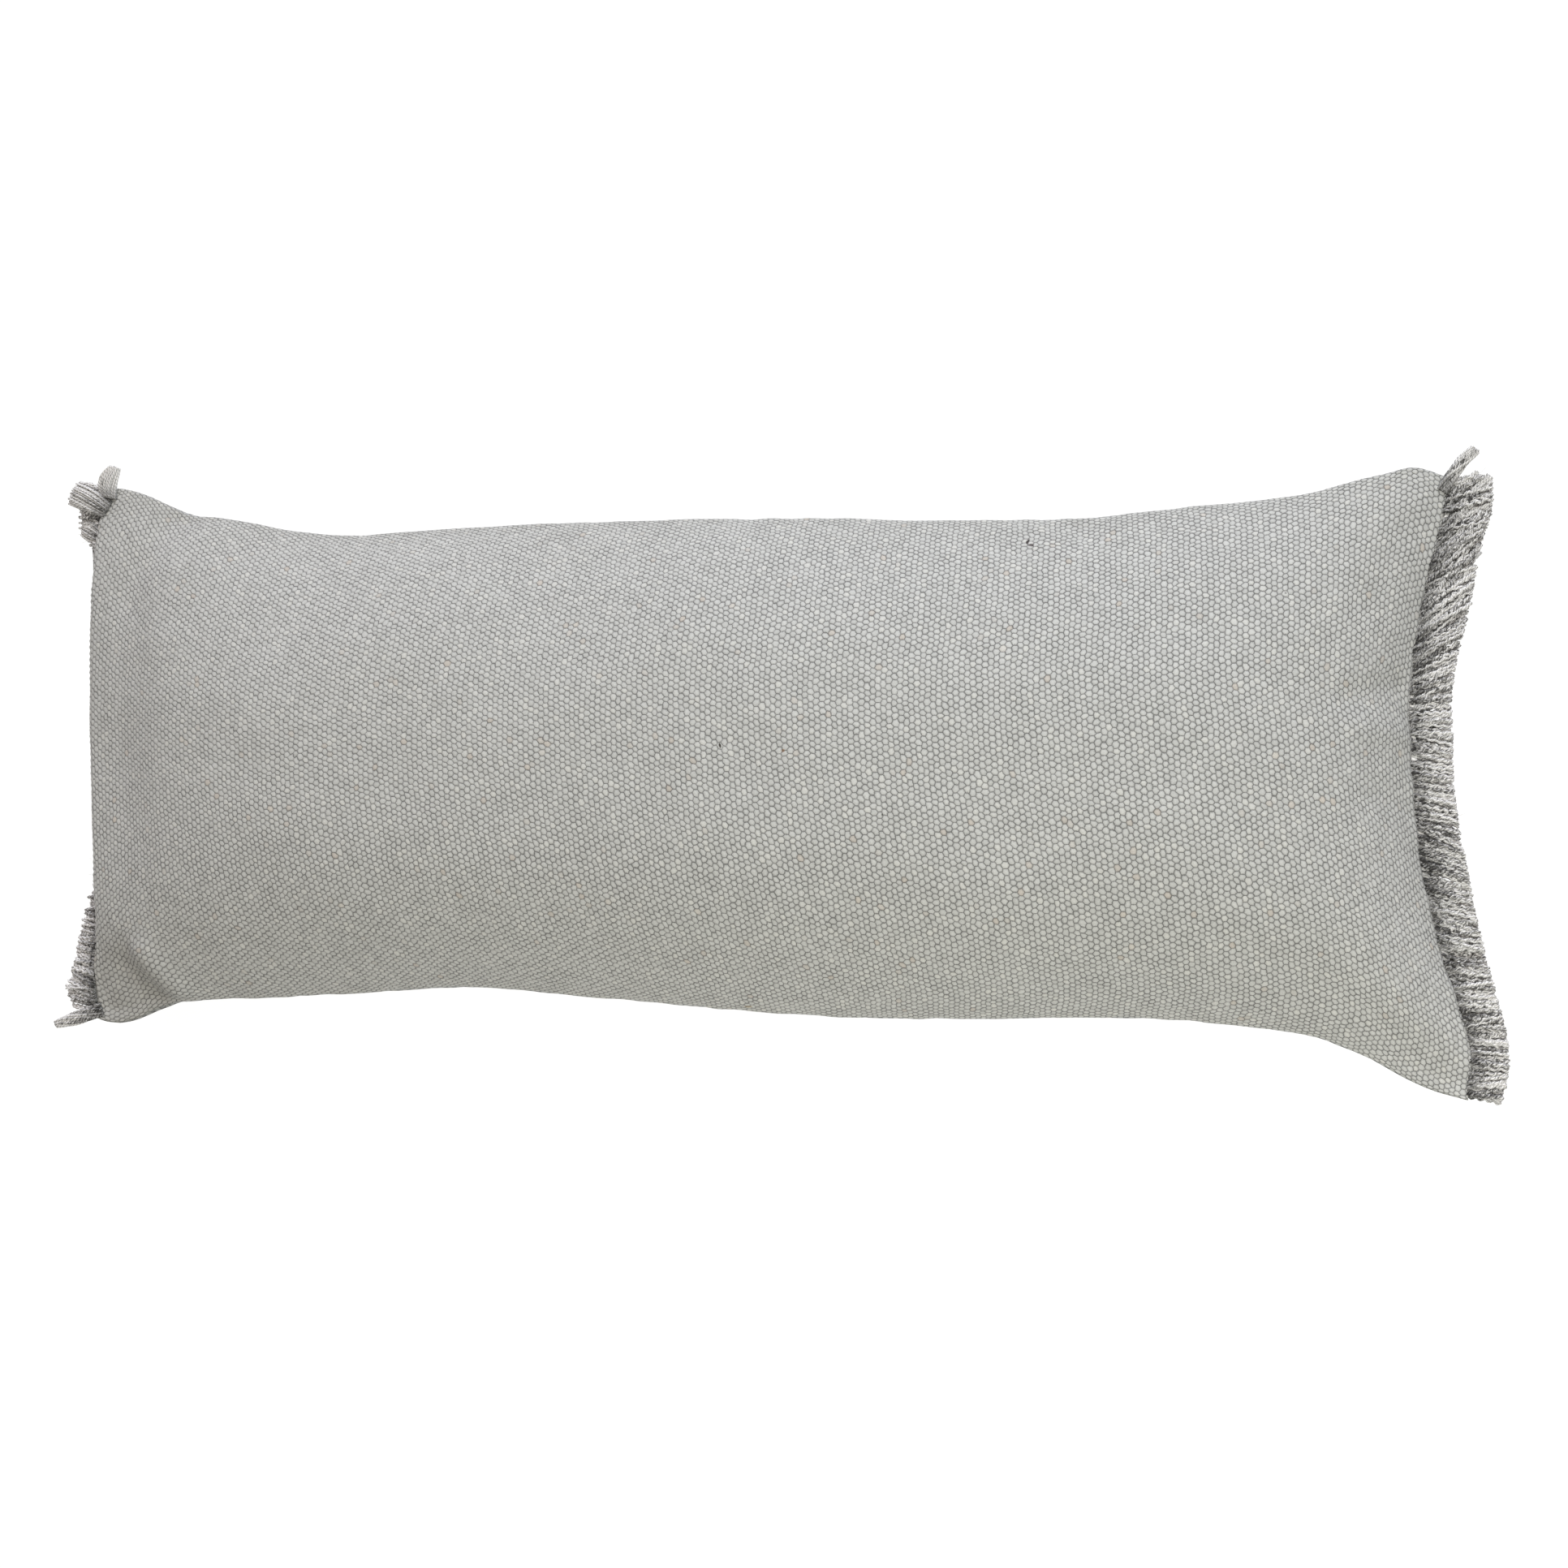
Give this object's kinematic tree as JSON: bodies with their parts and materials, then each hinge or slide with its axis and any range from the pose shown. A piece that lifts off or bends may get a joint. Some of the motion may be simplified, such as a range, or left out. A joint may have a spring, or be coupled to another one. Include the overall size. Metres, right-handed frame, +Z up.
{
  "type": "lumbar throw pillow",
  "caption": "Long, softly filled lumbar throw pillow in chunky woven cloth, with a short yarn fringe along each end, lying on its back.",
  "frame": {"origin": "on the surface under the pillow, below the middle of its whole outline, fringes included", "axes": "+X along the pillow's length, +Y across it towards the upper long seam, +Z up out of the front face"},
  "size_m": [0.9486, 0.3898, 0.1283],
  "materials": {
    "cloth": "heavy cotton plain weave of rounded grey yarns, matt, with small dark and beige flecks",
    "fringe_yarn": "loosely twisted heathered cotton yarn in white, light grey and dark grey, matt and fuzzy"
  },
  "bodies": {
    "root": {"cushion": "cloth", "fringe_left": "fringe_yarn", "fringe_right": "fringe_yarn"}
  },
  "joints": []
}
